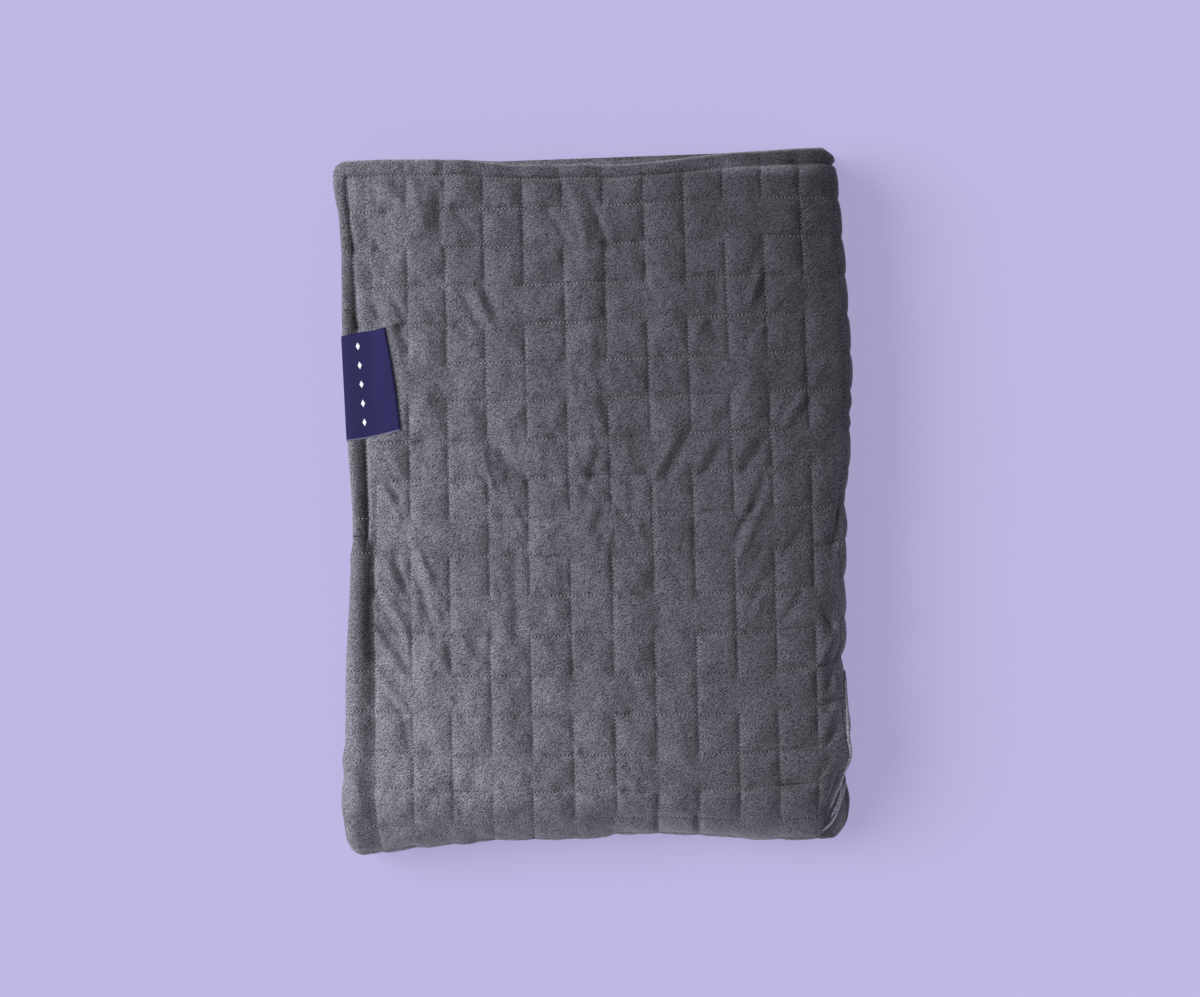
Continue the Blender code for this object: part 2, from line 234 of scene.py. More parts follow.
# A crease runs out at this share of its length from its middle.
CREASE_SHARE, CREASE_RUN_OUT = 1.5, 0.85
CREASES = (
    # (x0, y0, x1, y1, width, height) in millimetres: a ridge's height is positive, a trough's negative
    (-158, 280, -146, 234, 9, 2.4), (-136, 268, -134, 238, 8, -2.8), (-120, 254, -103, 236, 5, -2),
    (-90, 260, -62, 240, 5, -2.2), (-38, 256, -22, 230, 6, -2.8), (-18, 279, -6, 235, 8, 2.4),
    (-4, 272, 13, 228, 8, -3.2), (-206, 220, -198, 188, 5, -2.6), (-196, 248, -180, 256, 5, -1.8),
    (-214, 268, -197, 281, 5, 1.4), (-12, 219, 4, 194, 6, 1.8), (-54, 202, -24, 219, 6, 1.5),
    (-114, 182, -101, 158, 6, -3), (-104, 185, -90, 157, 6, 2.4), (-96, 188, -84, 163, 6, -2.4),
    (-196, 178, -187, 158, 6, -3), (-175, 178, -165, 157, 7, -3.2), (-156, 172, -147, 158, 5, 1.8),
    (-160, 206, -148, 192, 5, -2), (-168, 150, -165, 122, 7, -2.4), (118, 293, 168, 292, 6, 2.2),
    (120, 284, 182, 276, 8, -3.2), (147, 222, 140, 202, 6, -2.2), (147, 198, 140, 177, 6, 2.6),
    (152, 197, 146, 174, 5, -2), (160, 176, 186, 204, 6, 1.4), (89, 142, 100, 161, 6, 2),
    (104, 158, 112, 140, 8, -2.6), (99, 196, 99, 176, 5, 1.6), (110, 196, 112, 172, 7, -2),
    (142, 138, 154, 156, 5, 1.6), (136, 140, 148, 158, 5, -1.6), (178, 104, 190, 122, 5, 1.3),
    (196, 106, 206, 124, 5, 1.3), (128, 84, 143, 108, 8, 2.2), (146, 68, 160, 84, 6, -1.8),
    (112, 70, 122, 78, 7, -2.4), (164, 70, 178, 90, 5, -2), (172, 70, 186, 90, 5, 1.5),
    (180, 70, 194, 90, 5, -2), (7, 133, 10, 80, 7, -1.6), (-177, 40, -167, 22, 5, 2.2),
    (-156, 51, -147, 52, 6, -2.4), (-180, 17, -169, 0, 5, -2.6), (-181, 8, -171, -14, 5, 2.4),
    (-90, 52, -60, 22, 10, -3.6), (-97, 42, -88, 16, 7, 2.4), (-6, 4, 6, 46, 6, -2.4),
    (53, 18, 70, 50, 8, 3), (66, 20, 82, 52, 9, -2.6), (100, 26, 118, 54, 6, -2.2),
    (92, 26, 106, 52, 6, 1.8), (127, 38, 141, 56, 6, 2.6), (134, 26, 153, 56, 7, -3),
    (154, 24, 143, -6, 7, -3.4), (143, -6, 128, -30, 7, -3.4), (150, -2, 139, -30, 7, 2.6),
    (139, -30, 128, -52, 8, 3), (148, -46, 132, -74, 6, -2.4), (-52, -41, -32, -24, 5, 1.8),
    (-42, -40, -24, -24, 6, -1.8), (-155, -42, -138, -80, 7, 3.4), (-173, -50, -163, -80, 7, -3.2),
    (-182, -52, -169, -80, 5, 2.4), (-158, -60, -150, -80, 6, -2.2), (-181, -86, -166, -108, 5, 2.4),
    (-186, -92, -170, -118, 5, -2.4), (-150, -84, -142, -104, 5, -2.4), (-143, -86, -134, -106, 5, 1.6),
    (-68, -56, -66, -110, 10, -2.4), (-27, -52, -25, -78, 8, -2), (0, -30, 12, -4, 6, -2.2),
    (164, -56, 176, -36, 5, -2), (180, -36, 190, -12, 5, -1.5), (156, -66, 140, -94, 6, -2.2),
    (152, -78, 143, -100, 5, 1.8), (164, -102, 176, -84, 5, 1.8), (170, -104, 184, -84, 6, -2.4),
    (-186, -122, -168, -152, 5, 2.2), (-180, -118, -163, -146, 5, -2.2), (-186, -156, -162, -186, 5, 2.2),
    (-187, -166, -166, -190, 6, -2.4), (-166, -198, -161, -220, 7, -2.4), (-171, -260, -168, -262, 6, -3.2),
    (-211, -224, -204, -262, 7, 2.2), (-215, -240, -211, -272, 6, -2), (38, -242, 84, -243, 7, -1.8),
    (100, -236, 124, -235, 6, -1.8), (168, -236, 196, -236, 6, -2.4), (170, -251, 194, -251, 6, -2.8),
    (57, -279, 58, -292, 5, -2.2), (93, -279, 94, -292, 6, -2.6), (217, -13, 213, -42, 6, -3),
    (220, -5, 218, -36, 5, -2.2), (206, -100, 216, -118, 8, -2.8), (201, -141, 217, -112, 6, 2.6),
    (218, -138, 208, -166, 8, -3.2), (200, -175, 218, -168, 6, 2.2), (220, -196, 208, -216, 8, -3),
    (202, -208, 214, -184, 6, 1.8), (212, -226, 202, -240, 7, -2), (-167, 300, -167, 291, 4, -1.6),
    (-133, 300, -133, 290, 4, -1.6), (-30, 300, -30, 288, 4, -1.6),
)


def line_at(table, where):
    """Reads a two-column table in millimetres at positions in metres, and answers in metres."""
    columns = np.array(table, float).T
    return np.interp(where * 1000, columns[0], columns[1]) / 1000


def ease(value, start, end):
    share = np.clip((value - start) / (end - start), 0, 1)
    return share * share * (3 - 2 * share)


def between_lines(value, stations, lines):
    """Reads where a line of the cloth lies, from the lines at the stations to either side of it."""
    place = lines[0] + 0.0 * value
    for number in range(len(stations) - 1):
        width = stations[number + 1] - stations[number]
        share = np.clip((value - stations[number]) / width, 0, 1)
        place = place + share * (lines[number + 1] - lines[number])
    return place


def seam_line(number, y):
    """Where a seam crosses, counted from 0 at the left."""
    if number == 0:
        return line_at(FIRST_SEAM_LINE, y)
    pitches = number - 1
    sway = SEAM_SWAY * math.sin(2 * math.pi * pitches / 10) / 1000
    return line_at(SECOND_SEAM_LINE, y) + pitches * line_at(PITCH_ACROSS, y) - sway


def cross_line(number, x):
    """Where a cross seam runs, counted from 1 at the back."""
    numbers, places = np.array(CROSS_LINES, float).T
    lower = ease(number, 8.0, 11.0)
    sway = line_at(UPPER_SWAY, x) * (1 - lower) + line_at(LOWER_SWAY, x) * lower
    return np.interp(number, numbers, places) / 1000 + sway


def lie(x, y, z, hem_above):
    """Moves points of the square stack to where the real one's lines, edges and corners lie."""
    from_right, from_back = STACK_WIDTH - x, STACK_DEPTH - y
    inward_x = np.clip(1 - x / CORNER_RADIUS, 0, 1) - np.clip(1 - from_right / CORNER_RADIUS, 0, 1)
    inward_y = np.clip(1 - y / CORNER_RADIUS, 0, 1) - np.clip(1 - from_back / CORNER_RADIUS, 0, 1)
    round_x = CORNER_RADIUS * inward_x * (1 - np.sqrt(1 - 0.5 * inward_y**2))
    round_y = CORNER_RADIUS * inward_y * (1 - np.sqrt(1 - 0.5 * inward_x**2))
    near_x, near_y = x - STACK_WIDTH / 2, y - STACK_DEPTH / 2
    seams = range(LAST_FLAT_SEAM + 1)
    stations = [0, HEM_BAND] + [FIRST_SEAM + SEAM_PITCH * seam for seam in seams] + [STACK_WIDTH]
    lines = [line_at(LEFT_EDGE, near_y), line_at(HEM_STITCH, near_y)]
    lines += [seam_line(seam, near_y) for seam in seams] + [line_at(RIGHT_EDGE, near_y)]
    across = between_lines(x, stations, lines) + round_x
    crosses = range(LAST_FLAT_CROSS, 0, -1)
    first = STACK_DEPTH - FIRST_CROSS_SEAM
    stations = [0] + [first - CROSS_PITCH * (cross - 1) for cross in crosses] + [STACK_DEPTH]
    lines = [line_at(FRONT_EDGE, near_x)] + [cross_line(cross, near_x) for cross in crosses]
    lines += [line_at(BACK_EDGE, near_x)]
    back = between_lines(y, stations, lines) + round_y
    edges = ((x, LEFT_SINK), (from_right, RIGHT_SINK), (y, FRONT_SINK), (from_back, BACK_SINK))
    sink = sum(share * np.clip(1 - inside / reach, 0, 1) ** 2 for inside, (share, reach) in edges)
    corner = ease(x, *CORNER_ACROSS) * (1 - ease(near_y, CORNER_FULL, CORNER_START))
    beneath = corner * (1 - ease(z, *LOWER_LAYERS))
    corner = corner * ease(z, *UPPER_LAYERS)
    roll = hem_above * (1 - ease(near_y, ROLL_START, ROLL_END)) * np.clip(1 - x / ROLL_REACH, 0, 1) ** 2
    height = z * (1 - sink) - ROLL_DROOP * roll
    across = across - CORNER_DRAW_X * corner + CORNER_SPREAD * beneath
    return across, back + CORNER_DRAW_Y * corner, height


def path_across():
    """Stations down the middle of the four layers, from the hem on top to the hem inside.

    Each is (x, height over the section's middle, the way out to the path's left in x and in height,
    distance from a hem, seam count or None, whether the wall on the left has it, whether the right one).
    """
    stations = []

    def flat(xs, height, out, hem=-1.0):
        stations.extend((x, height, 0.0, out, min(1.0, x - hem), None, True, True) for x in xs)

    def turn(centre_x, centre_height, start, end, steps, side):
        for step in range(1, steps):
            angle = math.radians(start + (end - start) * step / steps)
            out = (math.cos(angle), math.sin(angle))
            x, height = centre_x + INNER_FOLD * out[0], centre_height + INNER_FOLD * out[1]
            stations.append((x, height, side * out[0], side * out[1], 1.0, None, True, True))

    radius = OUTER_FOLD + HALF_LAYER
    side_run = FOLD_START - (FIRST_SEAM + SEAM_PITCH * LAST_FLAT_SEAM)
    side_length = side_run + radius * SIDE_SEAM_ANGLE
    for number, x in enumerate(HEM_STEPS):
        count = (x - FIRST_SEAM) / SEAM_PITCH
        stations.append((x, OUTER_FOLD, 0.0, 1.0, x, count, True, number % 3 == 0))
    for seam in range(LAST_FLAT_SEAM):
        for number, step in enumerate(ACROSS_STEPS):
            x = FIRST_SEAM + SEAM_PITCH * (seam + step)
            kept = seam in (1, 5, 9) and number == 0
            stations.append((x, OUTER_FOLD, 0.0, 1.0, x, seam + step, True, kept))
    counts = [LAST_FLAT_SEAM + square + step for square in range(2) for step in ACROSS_STEPS]
    counts += [LAST_FLAT_SEAM + 2 + step for step in ACROSS_STEPS[:9]]
    for number, count in enumerate(counts):
        length = (count - LAST_FLAT_SEAM) * side_length
        if length <= side_run:
            x = FIRST_SEAM + SEAM_PITCH * LAST_FLAT_SEAM + length
            stations.append((x, OUTER_FOLD, 0.0, 1.0, x, count, True, number % 4 == 0))
            continue
        angle = (length - side_run) / radius
        if count > LAST_FLAT_SEAM + 1:
            angle = SIDE_SEAM_ANGLE + SIDE_SEAM_STEP * (count - LAST_FLAT_SEAM - 1)
        if angle < math.pi:
            out = (math.sin(angle), math.cos(angle))
            x, height = FOLD_START + OUTER_FOLD * out[0], OUTER_FOLD * out[1]
            stations.append((x, height, out[0], out[1], 1.0, count, True, number % 3 == 0))
    flat([FOLD_START, *HIDDEN_STEPS, LEFT_FOLD_START], -OUTER_FOLD, -1.0)
    turn(LEFT_FOLD_START, -LAYER_STEP, -90, -270, 10, 1)
    flat([LEFT_FOLD_START, *HIDDEN_STEPS[::-1], FOLD_START], -INNER_FOLD, 1.0)
    turn(FOLD_START, 0, -90, 90, 6, -1)
    flat([FOLD_START, *HIDDEN_STEPS], INNER_FOLD, -1.0)
    flat([SECOND_HEM + x for x in SECOND_HEM_STEPS], INNER_FOLD, -1.0, SECOND_HEM)
    return stations


def rows_along():
    """Rows of the sweep, from the hem on top round the front fold to the hem underneath.

    Each is (distance behind the front fold's centre, angle round it, distance from a hem, seam count).
    """
    back = STACK_DEPTH - FRONT_REACH
    rows = [(back - x, 0.0, x, 1 - (FIRST_CROSS_SEAM - x) / CROSS_PITCH) for x in BACK_HEM_STEPS]
    for cross in range(1, LAST_FLAT_CROSS):
        for step in ALONG_STEPS:
            behind = back - FIRST_CROSS_SEAM - CROSS_PITCH * (cross + step - 1)
            rows.append((behind, 0.0, 1.0, cross + step))
    for number, (angle, after) in enumerate(zip(FRONT_SEAM_ANGLES, FRONT_SEAM_ANGLES[1:])):
        for step in ALONG_STEPS:
            rows.append((0.0, angle + (after - angle) * step, 1.0, LAST_FLAT_CROSS + number + step))
    last = LAST_FLAT_CROSS + len(FRONT_SEAM_ANGLES) - 1
    for step in ALONG_STEPS[:7:2]:
        rows.append((0.0, FRONT_SEAM_ANGLES[-1] + 0.68 * step, 1.0, last + step))
    start = CROSS_PITCH * 0.30
    for cross in range(UNDERSIDE_CROSSES):
        for step in COARSE_STEPS:
            behind = start + CROSS_PITCH * (cross + step)
            if behind < back - 0.020:
                rows.append((behind, math.pi, back - behind, last + 1 + cross + step))
    return rows + [(back - x, math.pi, x, last + UNDERSIDE_CROSSES + 0.5) for x in UNDER_HEM_STEPS]


def hem_thickness(edge):
    """Share of the layer's thickness at a distance in from a hem's edge: a rounded nose."""
    share = np.clip(edge / HEM_NOSE, 0, 1)
    return np.maximum(0.12, np.sqrt(1 - (1 - share) ** 2))


def is_sewn(across, down, along_row):
    """Whether a side of a square is sewn, by its square's numbers: the open sides repeat every 4 squares."""
    first, second = np.mod((across, down) if along_row else (down, across), 4)
    return ~((first == 1) & np.isin(second, (1, 2)) | (first == 3) & np.isin(second, (3, 0)))


def seam_distance(across, down):
    """Distance in metres from the sewn seams, as one soft blend of the nearest ones."""
    total = np.full(across.shape, 1e-9)
    for near in (-1, 0, 1, 2):
        for beside in (-1, 0, 1):
            column, row = np.floor(across) + near, np.floor(down) + beside
            past = np.clip(np.abs(down - row - 0.5) - 0.5, 0, None) * CROSS_PITCH
            away = np.hypot((across - column) * SEAM_PITCH, past) + 0.0003
            total += is_sewn(column, row, False) * (away * 100) ** -SHARPNESS
            column, row = np.floor(across) + beside, np.floor(down) + near
            past = np.clip(np.abs(across - column - 0.5) - 0.5, 0, None) * SEAM_PITCH
            away = np.hypot((down - row) * CROSS_PITCH, past) + 0.0003
            total += (is_sewn(column, row, True) & (row >= 1)) * (away * 100) ** -SHARPNESS
    return total ** (-1 / SHARPNESS) / 100


def crease_height(x, y):
    height = np.zeros(x.shape)
    for x0, y0, x1, y1, width, rise in CREASES:
        along = np.array((x1 - x0, y1 - y0)) / 1000
        length = np.hypot(*along)
        share = ((x - x0 / 1000) * along[0] + (y - y0 / 1000) * along[1]) / length**2
        beside = ((x - x0 / 1000) * along[1] - (y - y0 / 1000) * along[0]) / length
        taper = np.clip(1 - ((share - 0.5) / CREASE_RUN_OUT) ** 2, 0, 1)
        height += CREASE_SHARE * rise / 1000 * taper / (1 + (beside * 2000 / width) ** 2) ** 1.5
    return height


def unevenness(points, scale, octaves, seed):
    """Smooth random heights from -1 to 1 at a grid of points, always the same for a seed."""
    drift = Vector((seed * 7.3, seed * 3.1, seed * 1.7))
    flat = (noise.fractal(Vector(p) * scale + drift, 0.8, 2.1, octaves) for p in points.reshape(-1, 3))
    return np.fromiter(flat, float, points.shape[0] * points.shape[1]).reshape(points.shape[:2])


def facing_out(points):
    """Unit directions out of a grid of points, from its own slopes."""
    down, across = np.gradient(points, axis=(0, 1))
    out = np.cross(across, down)
    return out / np.maximum(np.linalg.norm(out, axis=2, keepdims=True), 1e-12)


stations, rows = path_across(), rows_along()
left = [s for s in stations if s[6]]
right = [s for s in stations[::-1] if s[7]]
ring = [(s, 1.0) for s in left] + [(s, -1.0) for s in right]
outer_count = sum(1 for s in left if s[5] is not None)
behind, angle, row_edge, down = (np.array(column)[:, None] for column in zip(*rows))
x, middle, out_x, out_height, edge = (np.array([s[k] for s, _ in ring])[None, :] for k in range(5))
side = np.array([side for _, side in ring])[None, :]
on_top = angle < 1.0
hem_above = np.array([s[1] > OUTER_FOLD * 0.99 and s[4] < 0.03 for s, _ in ring])[None, :] * on_top
thickness = HALF_LAYER * np.minimum(hem_thickness(edge), hem_thickness(row_edge)) * side
ideal_x, high = x + out_x * thickness, middle + out_height * thickness
past = np.clip(ideal_x - FOLD_START, 0, None)
flatter = (past**FOLD_SQUARENESS + np.abs(high) ** FOLD_SQUARENESS) ** (-1 / FOLD_SQUARENESS)
flatter *= np.hypot(past, high)
ideal_x, high = ideal_x + past * (flatter - 1), high * flatter
radius = FRONT_FOLD + high
ideal_y = FRONT_REACH + behind - radius * np.sin(angle)
ideal_z = STACK_HEIGHT / 2 + radius * np.cos(angle)
points = np.stack(lie(ideal_x, ideal_y, ideal_z, hem_above), axis=2)

# The outer face: puffs, seams, hem bands and creases, raised along the way that it faces.
outer = points[:, :outer_count]
real_x, real_y = outer[:, :, 0], outer[:, :, 1]
across = np.array([s[5] for s in left[:outer_count]])[None, :] + 0.0 * down
down = down + 0.0 * across
edge_x, edge_y = edge[:, :outer_count] + 0.0 * down, row_edge + 0.0 * down
# A point on the flat top tells which of the two ways is out.
face = facing_out(outer)
face *= np.sign(face[len(HEM_STEPS) + 20, 40, 2])
under = ease(angle, UNDER_START, math.pi) + 0.0 * down
from_seam = seam_distance(across, down)
puff = STEEP_HEIGHT * (1 - np.exp(-from_seam / STEEP_FALL))
puff += BROAD_HEIGHT * (1 - np.exp(-from_seam / BROAD_FALL))
round_front = ease(angle, *FRONT_TURNS) * (1 - ease(angle, *FRONT_ENDS))
round_side = ease(across, LAST_FLAT_SEAM + 0.2, LAST_FLAT_SEAM + 1.0)
upper_side = ease(real_y, ROLL_START, ROLL_END) * on_top
on_roll = (1 - upper_side) * (1 - ease(edge_x, *ROLL_SMOOTHED))
puff = puff + (ROLL_PUFF - puff) * ROLL_SMOOTH * on_roll
puff = puff * (1 - (1 - FRONT_SHARE) * round_front) * (1 - (1 - SIDE_SHARE) * round_side)
relief = puff - SEAM_DEPTH - under * (PUFF_HEIGHT - SEAM_DEPTH)
in_side_band = (1 - ease(edge_x, *BAND_END)) * upper_side
in_back_band = (1 - ease(edge_y, *BAND_END)) * on_top
bands = ((in_side_band, edge_x, SIDE_BAND), (in_back_band, edge_y, BACK_BAND))
for in_band, edge_now, (height, lean) in bands:
    band = height * np.sin(math.pi * np.clip(edge_now / HEM_BAND, 0, 1) ** lean) ** 0.7
    relief = relief * (1 - in_band) + (band + 0.40 * (puff - PUFF_HEIGHT * 0.8)) * in_band
rolled = np.sin(math.pi * np.clip(edge_x / FIRST_SEAM, 0, 1) ** ROLL_LEAN) * (1 - upper_side) * (1 - under)
relief = relief + ROLL_RISE * rolled
side_groove = upper_side * (edge_y > HEM_BAND - 0.0005)
back_groove = 1.0 * on_top * (edge_x > HEM_BAND - 0.0005)
for strength, edge_now in ((side_groove, edge_x), (back_groove, edge_y)):
    relief = relief - strength * GROOVE_DEPTH * np.exp(-(((edge_now - HEM_BAND) / GROOVE_WIDTH) ** 2))
loose = SLOW_WAVES * unevenness(outer, 9.0, 2, 1) + QUICK_WAVES * unevenness(outer, 34.0, 3, 2)
slant = unevenness(outer @ np.array(SLANTED), 1.0, 3, 5)
calm = 0.40 + 0.60 * ease(-real_x, -0.120, 0.020)
loose += SLANT_WAVES * (0.35 - np.abs(slant)) * ease(unevenness(outer, 12.0, 1, 8), -0.15, 0.25)
loose = loose * calm * (1 - 0.7 * round_front) * (1 - 0.6 * round_side) * ease(edge_x, 0.004, 0.022)
relief = relief + (crease_height(real_x, real_y) + loose) * (1 - under)
# Painted sheen along the hem edges, for the pile's colour.
hem_edge_sheen = np.exp(-((np.minimum(edge_x, edge_y) / EDGE_SHEEN_WIDTH) ** 2))
relief = relief * ease(np.minimum(edge_x, edge_y), *HEM_ROUNDING)
beside = np.abs(real_y - LABEL_MIDDLE - LABEL_SLANT * (real_x + 0.2205))
reach = line_at(LABEL_REACH, real_y)
under_label = (1 - ease(beside, *LABEL_HALF_WIDTH)) * (1 - ease(edge_x, reach, reach + 0.006)) * on_top
relief = relief * (1 - under_label) + LABEL_LEVEL * under_label * ease(edge_x, *HEM_ROUNDING)
outer += face * relief[:, :, None]
points[:, :, 2] = np.maximum(points[:, :, 2], 0.0002)


def add_object(name, mesh):
    made = bpy.data.objects.new(name, mesh)
    bpy.context.scene.collection.objects.link(made)
    return made


def closed_mesh(name, corners, faces, smooth=lambda face: True):
    """A mesh with its open ends filled and its faces turned outwards, smooth where it is asked to be."""
    mesh = bpy.data.meshes.new(name)
    mesh.from_pydata([tuple(corner) for corner in corners], [], faces)
    shaped = bmesh.new()
    shaped.from_mesh(mesh)
    rims = [e for e in shaped.edges if e.is_boundary]
    ends = bmesh.ops.holes_fill(shaped, edges=rims, sides=0)["faces"]
    bmesh.ops.triangulate(shaped, faces=ends, ngon_method="EAR_CLIP")
    bmesh.ops.recalc_face_normals(shaped, faces=shaped.faces)
    for face in shaped.faces:
        face.smooth = smooth(face)
    shaped.to_mesh(mesh)
    shaped.free()
    return mesh


def keep_values(mesh, name, values):
    """Keeps a value for each point of the mesh, for its material to read."""
    mesh.attributes.new(name, "FLOAT", "POINT").data.foreach_set("value", values.astype(np.float32).ravel())


row_count, ring_count = points.shape[:2]
corners = points.reshape(-1, 3)
faces = []
for row in range(row_count - 1):
    for column in range(ring_count):
        after = (column + 1) % ring_count
        here, below = row * ring_count, (row + 1) * ring_count
        faces.append((here + column, here + after, below + after, below + column))
cloth = closed_mesh("blanket_cloth", corners, faces)
# Painted shade in the seams and in the hem's topstitched groove, kept on each point for the material to
# darken the colour there.
painted_seam_shade = np.zeros(points.shape[:2])
seam_shade_at = np.exp(-((from_seam / SEAM_SHADE_WIDTH) ** 2))
painted_seam_shade[:, :outer_count] = seam_shade_at * (1 - 0.6 * in_side_band) * (1 - 0.6 * in_back_band)
for strength, edge_now in ((side_groove, edge_x), (back_groove, edge_y)):
    groove_shade = strength * np.exp(-(((edge_now - HEM_BAND) / GROOVE_SHADE_WIDTH) ** 2))
    painted_seam_shade[:, :outer_count] = np.maximum(painted_seam_shade[:, :outer_count], groove_shade)

# The pile's colour factor, nearly all painted light and shade: painted shade in the trench along the left
# edge (with part of it pile lying the other way) and on the front fold's left part, painted sheen along the
# right fold, the front fold and the hem edges, and a few patches made lighter or darker.
strip_end = HEM_BAND + (FIRST_SEAM - HEM_BAND) * (1 - upper_side)
in_strip = ease(edge_x / strip_end, 0.02, 0.72) * (1 - ease(edge_x - strip_end, -0.0008, 0.0012))
# Painted shade along the left edge strip, partly pile lying the other way.
turned = line_at(LEFT_STRIP_SHADING, real_y) * 1000 * in_strip
# Painted shade on the front fold's left part, which turns away from the light.
front_shade = ease(-real_y, 0.258, 0.285) * (1 - ease(real_x, -0.03, 0.09)) * (angle < 2)
tone = (1 - LEFT_STRIP_SHADE * turned) * (1 - FRONT_SHADE * front_shade)
past_seam = across - LAST_FLAT_SEAM
# Painted sheen on the pile along the fold at the right.
side_sheen = ease(past_seam, 0.35, 1.0) * (1 - ease(past_seam, 1.1, 1.7))
side_sheen *= line_at(SIDE_SHEEN, real_y) * 1000
# Painted sheen along the front fold's rim.
front_sheen = ease(-real_y, 0.272, 0.298) * ease(real_x, -0.060, 0.060) * (angle < 2)
tone = tone * (1 + side_sheen) * (1 + FRONT_SHEEN * front_sheen) * (1 + EDGE_SHEEN * hem_edge_sheen)
for mark_x, mark_y, half_x, half_y, lighter in TONE_PATCHES:
    away = ((real_x * 1000 - mark_x) / half_x) ** 2 + ((real_y * 1000 - mark_y) / half_y) ** 2
    tone = tone * (1 + lighter * np.exp(-away))
# Painted shade on the inner faces between the layers.
tone_and_painted_light = np.full(points.shape[:2], INNER_SHADE)
tone_and_painted_light[:, :outer_count] = tone
keep_values(cloth, "tone_and_painted_light", tone_and_painted_light)
keep_values(cloth, "painted_seam_shade", painted_seam_shade)
blanket = add_object("blanket_cloth", cloth)


def new_material(name, **values):
    """A material whose surface has these values, named as its inputs are."""
    made = bpy.data.materials.new(name)
    made.use_nodes = True
    for socket, value in values.items():
        made.node_tree.nodes["Principled BSDF"].inputs[socket.replace("_", " ")].default_value = value
    return made


def new_node(tree, kind, fed=(), values=(), **settings):
    """A node with its settings, its inputs' values and what its inputs are fed from."""
    node = tree.nodes.new(kind)
    for name, value in settings.items():
        setattr(node, name, value)
    for socket, value in dict(values).items():
        node.inputs[socket].default_value = value
    for socket, source in dict(fed).items():
        tree.links.new(source, node.inputs[socket])
    return node


def object_place(tree):
    return new_node(tree, "ShaderNodeTexCoord").outputs["Object"]


def noise_at(tree, place, scale, detail, rough=0.5):
    sizes = {"Scale": scale, "Detail": detail, "Roughness": rough}
    return new_node(tree, "ShaderNodeTexNoise", {"Vector": place}, sizes)


def ramp_of(tree, source, stops):
    """Colours along a value, each stop with one grey or three colour parts."""
    ramp = new_node(tree, "ShaderNodeValToRGB", {"Fac": source})
    while len(ramp.color_ramp.elements) < len(stops):
        ramp.color_ramp.elements.new(0.5)
    for element, (place, *color) in zip(ramp.color_ramp.elements, stops):
        element.position, element.color = place, (*(color * 3)[:3], 1)
    return ramp.outputs["Color"]


def share_between(tree, source, low, high):
    return new_node(tree, "ShaderNodeMapRange", {0: source}, {1: low, 2: high}).outputs["Result"]


def product_of(tree, first, *others):
    """Colours multiplied with each other."""
    times = {"data_type": "RGBA", "blend_type": "MULTIPLY"}
    for other in others:
        first = new_node(tree, "ShaderNodeMix", {6: first, 7: other}, {0: 1.0}, **times).outputs[2]
    return first


def bump_of(tree, source, strength, distance, fed=()):
    sizes = {"Strength": strength, "Distance": distance}
    return new_node(tree, "ShaderNodeBump", {"Height": source, **dict(fed)}, sizes).outputs["Normal"]


def combed_along(tree, place, angle, scale):
    """Coordinates turned by an angle, then scaled along each way."""
    turned = new_node(tree, "ShaderNodeMapping", {"Vector": place}, {"Rotation": (0, 0, math.radians(angle))})
    combed = new_node(tree, "ShaderNodeMapping", {"Vector": turned.outputs["Vector"]}, {"Scale": scale})
    return combed.outputs["Vector"]


plush = new_material(
    "plush_pile",
    Roughness=0.9,
    Specular_IOR_Level=0.12,
    Sheen_Weight=0.5,
    Sheen_Roughness=0.38,
    Sheen_Tint=(0.92, 0.90, 0.90, 1),
)
tree = plush.node_tree
place = object_place(tree)
patches = noise_at(tree, place, 30, 4, 0.55)
fed = {0: patches.outputs["Color"], 2: place}
swirl = new_node(tree, "ShaderNodeVectorMath", fed, {1: (0.012, 0.012, 0.0)}, operation="MULTIPLY_ADD")
strokes = new_node(
    tree,
    "ShaderNodeTexWave",
    {"Vector": combed_along(tree, swirl.outputs["Vector"], -40, (0.75, 1.0, 0.8))},
    {"Scale": 148, "Distortion": 8.0, "Detail": 1.0, "Detail Scale": 2.4},
    wave_type="BANDS",
    bands_direction="Y",
)
specks = noise_at(tree, place, 1000, 1)
fed, times_and_add = {0: strokes.outputs["Fac"]}, {"operation": "MULTIPLY_ADD"}
stroke_share = new_node(tree, "ShaderNodeMath", fed, {1: 0.34, 2: -0.67}, **times_and_add)
fed = {0: specks.outputs["Fac"], 2: stroke_share.outputs["Value"]}
grain = new_node(tree, "ShaderNodeMath", fed, {1: 2.0}, **times_and_add).outputs["Value"]
wrinkles = noise_at(tree, combed_along(tree, place, 52, (0.5, 1.0, 0.7)), 80, 2)
# Lighter towards the front left corner and darker towards the back right: partly the nap brushed towards that
# corner, partly a painted light falloff, as from a lamp close by on the left.
nap_and_falloff = new_node(tree, "ShaderNodeVectorMath", {0: place}, {1: (-0.95, -0.31, 0)}, operation="DOT_PRODUCT")
nap_and_falloff_share = share_between(tree, nap_and_falloff.outputs["Value"], -0.30, 0.30)
nap_and_falloff_colors = ((0.0, 0.36, 0.36, 0.37), (0.2, 0.53, 0.53, 0.54), (0.5, 0.84), (1.0, 1.76, 1.76, 1.72))
